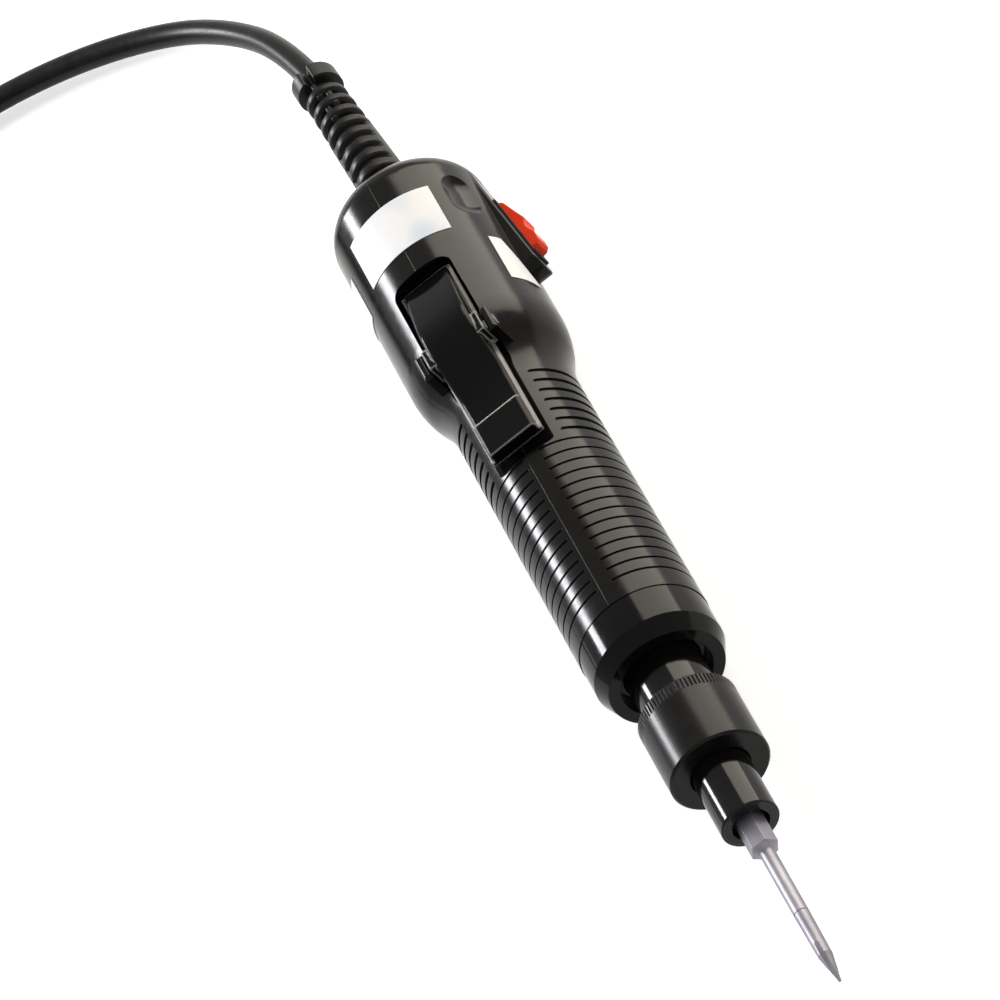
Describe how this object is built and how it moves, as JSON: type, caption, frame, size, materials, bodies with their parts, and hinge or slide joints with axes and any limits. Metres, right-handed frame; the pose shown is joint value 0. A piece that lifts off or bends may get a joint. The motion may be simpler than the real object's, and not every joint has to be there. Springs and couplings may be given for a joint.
{
  "type": "electric screwdriver",
  "caption": "Corded lever-start electric screwdriver with ribbed grip, torque nut, quick-change bit sleeve, reversing rocker and coiled lead.",
  "frame": {"origin": "on the tool axis at the front end of the nose ring's straight clamping band", "axes": "+X along the tool towards the bit tip, +Z on the start lever's side, +Y on the reversing switch's side"},
  "size_m": [0.4422, 0.2375, 0.042],
  "materials": {
    "housing_plastic": "satin black moulded plastic",
    "lever_plastic": "glossy black moulded plastic",
    "rocker_plastic": "orange-red moulded plastic",
    "switch_plastic": "black switch plastic",
    "label_film": "blank white label film",
    "black_steel": "black oxide steel",
    "bit_steel": "satin tool steel",
    "plain_steel": "machined steel",
    "bright_steel": "polished steel",
    "zinc_steel": "zinc plated sheet steel",
    "spring_steel": "drawn spring wire",
    "gear_steel": "hardened gear steel",
    "sintered_bronze": "sintered bronze",
    "ferrite": "dark ferrite",
    "copper": "enamelled copper",
    "carbon": "pressed carbon",
    "board": "green circuit laminate",
    "capacitor_can": "aluminium can",
    "terminal_plastic": "green terminal plastic",
    "cord_rubber": "satin dark jacket",
    "boot_rubber": "moulded black rubber",
    "tie_fabric": "black hook and loop strap",
    "plug_metal": "nickel plated shell",
    "contact_brass": "gold plated brass"
  },
  "bodies": {
    "housing": {"housing_left": "housing_plastic", "housing_right": "housing_plastic", "housing_screws": "black_steel", "nose_ring": "housing_plastic", "front_label": "label_film", "left_label": "label_film", "side_label": "label_film", "reversing_switch_case": "switch_plastic", "lever_pin": "plain_steel", "lever_spring": "spring_steel", "start_switch": "switch_plastic", "circuit_board": "board", "capacitors": "capacitor_can", "terminal_block": "terminal_plastic", "motor_can": "zinc_steel", "motor_end_cap": "switch_plastic", "motor_bearings": "sintered_bronze", "motor_magnets": "ferrite", "motor_brushes": "carbon", "ring_gear": "gear_steel", "motor_plate": "plain_steel", "plate_screws": "plain_steel", "clutch_case": "black_steel", "clutch_spring": "spring_steel", "output_bearing": "bright_steel", "strain_relief": "boot_rubber", "cord_lead": "cord_rubber", "cord_coil": "cord_rubber", "cord_tie": "tie_fabric", "plug_boot": "boot_rubber", "plug_shell": "plug_metal", "plug_grip": "boot_rubber", "plug_contacts": "contact_brass"},
    "armature": {"motor_shaft": "plain_steel", "armature_core": "plain_steel", "commutator": "copper", "motor_windings": "copper", "sun_pinion": "gear_steel"},
    "first_carrier": {"first_carrier": "gear_steel"},
    "spindle": {"second_carrier": "gear_steel", "spindle": "plain_steel", "clutch_balls": "bright_steel", "clutch_slider": "plain_steel", "lock_balls": "bright_steel", "retaining_ring": "spring_steel", "sleeve_spring": "spring_steel", "bit": "bit_steel"},
    "spring_seat": {"spring_seat": "plain_steel"},
    "torque_nut": {"torque_nut": "black_steel"},
    "sleeve": {"bit_sleeve": "black_steel", "sleeve_lid": "black_steel"},
    "lever": {"start_lever": "lever_plastic"},
    "plunger": {"start_plunger": "switch_plastic"},
    "rocker": {"rocker": "rocker_plastic"},
    "first_planet_1": {"first_planet_1": "gear_steel"},
    "first_planet_2": {"first_planet_2": "gear_steel"},
    "first_planet_3": {"first_planet_3": "gear_steel"},
    "second_planet_1": {"second_planet_1": "gear_steel"},
    "second_planet_2": {"second_planet_2": "gear_steel"},
    "second_planet_3": {"second_planet_3": "gear_steel"}
  },
  "joints": [
    {"name": "lever_press", "type": "hinge", "parent": "housing", "child": "lever", "pos_m": [-0.104, 0, 0.0204], "axis": [0, 1, 0], "range_deg": [0, 3], "stiffness_Nm_per_rad": 0.5, "springref_deg": -8.59, "deforming": ["lever_spring"]},
    {"name": "plunger_slide", "type": "slide", "parent": "housing", "child": "plunger", "axis": [0, 0, 1], "range_m": [0, 0.0014]},
    {"name": "reverse_rock", "type": "hinge", "parent": "housing", "child": "rocker", "pos_m": [-0.14276, 0.02131, 0], "axis": [0, 0, 1], "range_deg": [-12, 0]},
    {"name": "motor_spin", "type": "hinge", "parent": "housing", "child": "armature", "pos_m": [-0.07, 0, 0], "axis": [1, 0, 0], "continuous": true},
    {"name": "first_carrier_spin", "type": "hinge", "parent": "housing", "child": "first_carrier", "pos_m": [-0.043, 0, 0], "axis": [1, 0, 0], "continuous": true},
    {"name": "spindle_spin", "type": "hinge", "parent": "housing", "child": "spindle", "pos_m": [0, 0, 0], "axis": [1, 0, 0], "continuous": true},
    {"name": "spring_seat_slide", "type": "slide", "parent": "housing", "child": "spring_seat", "axis": [1, 0, 0], "range_m": [-0.00475, 0.00125], "deforming": ["clutch_spring"]},
    {"name": "torque_nut_turn", "type": "hinge", "parent": "spring_seat", "child": "torque_nut", "pos_m": [0.02, 0, 0], "axis": [1, 0, 0], "range_deg": [-1150, 310]},
    {"name": "sleeve_slide", "type": "slide", "parent": "spindle", "child": "sleeve", "axis": [1, 0, 0], "range_m": [-0.003, 0], "stiffness_N_per_m": 600, "springref_m": 0.004, "deforming": ["sleeve_spring"]},
    {"name": "first_planet_1_spin", "type": "hinge", "parent": "first_carrier", "child": "first_planet_1", "pos_m": [-0.0483, 0, 0.0075], "axis": [1, 0, 0], "continuous": true},
    {"name": "first_planet_2_spin", "type": "hinge", "parent": "first_carrier", "child": "first_planet_2", "pos_m": [-0.0483, -0.0065, -0.00375], "axis": [1, 0, 0], "continuous": true},
    {"name": "first_planet_3_spin", "type": "hinge", "parent": "first_carrier", "child": "first_planet_3", "pos_m": [-0.0483, 0.0065, -0.00375], "axis": [1, 0, 0], "continuous": true},
    {"name": "second_planet_1_spin", "type": "hinge", "parent": "spindle", "child": "second_planet_1", "pos_m": [-0.0385, 0, 0.0075], "axis": [1, 0, 0], "continuous": true},
    {"name": "second_planet_2_spin", "type": "hinge", "parent": "spindle", "child": "second_planet_2", "pos_m": [-0.0385, -0.0065, -0.00375], "axis": [1, 0, 0], "continuous": true},
    {"name": "second_planet_3_spin", "type": "hinge", "parent": "spindle", "child": "second_planet_3", "pos_m": [-0.0385, 0.0065, -0.00375], "axis": [1, 0, 0], "continuous": true}
  ],
  "couplings": [
    {"joint": "plunger_slide", "follows": "lever_press", "m_per_rad": 0.025},
    {"joint": "first_carrier_spin", "follows": "motor_spin", "ratio": 0.25},
    {"joint": "spindle_spin", "follows": "motor_spin", "ratio": 0.0625},
    {"joint": "torque_nut_turn", "follows": "spring_seat_slide", "rad_per_m": 4188.8},
    {"joint": "first_planet_1_spin", "follows": "motor_spin", "ratio": -0.75},
    {"joint": "first_planet_2_spin", "follows": "motor_spin", "ratio": -0.75},
    {"joint": "first_planet_3_spin", "follows": "motor_spin", "ratio": -0.75},
    {"joint": "second_planet_1_spin", "follows": "motor_spin", "ratio": -0.1875},
    {"joint": "second_planet_2_spin", "follows": "motor_spin", "ratio": -0.1875},
    {"joint": "second_planet_3_spin", "follows": "motor_spin", "ratio": -0.1875}
  ]
}
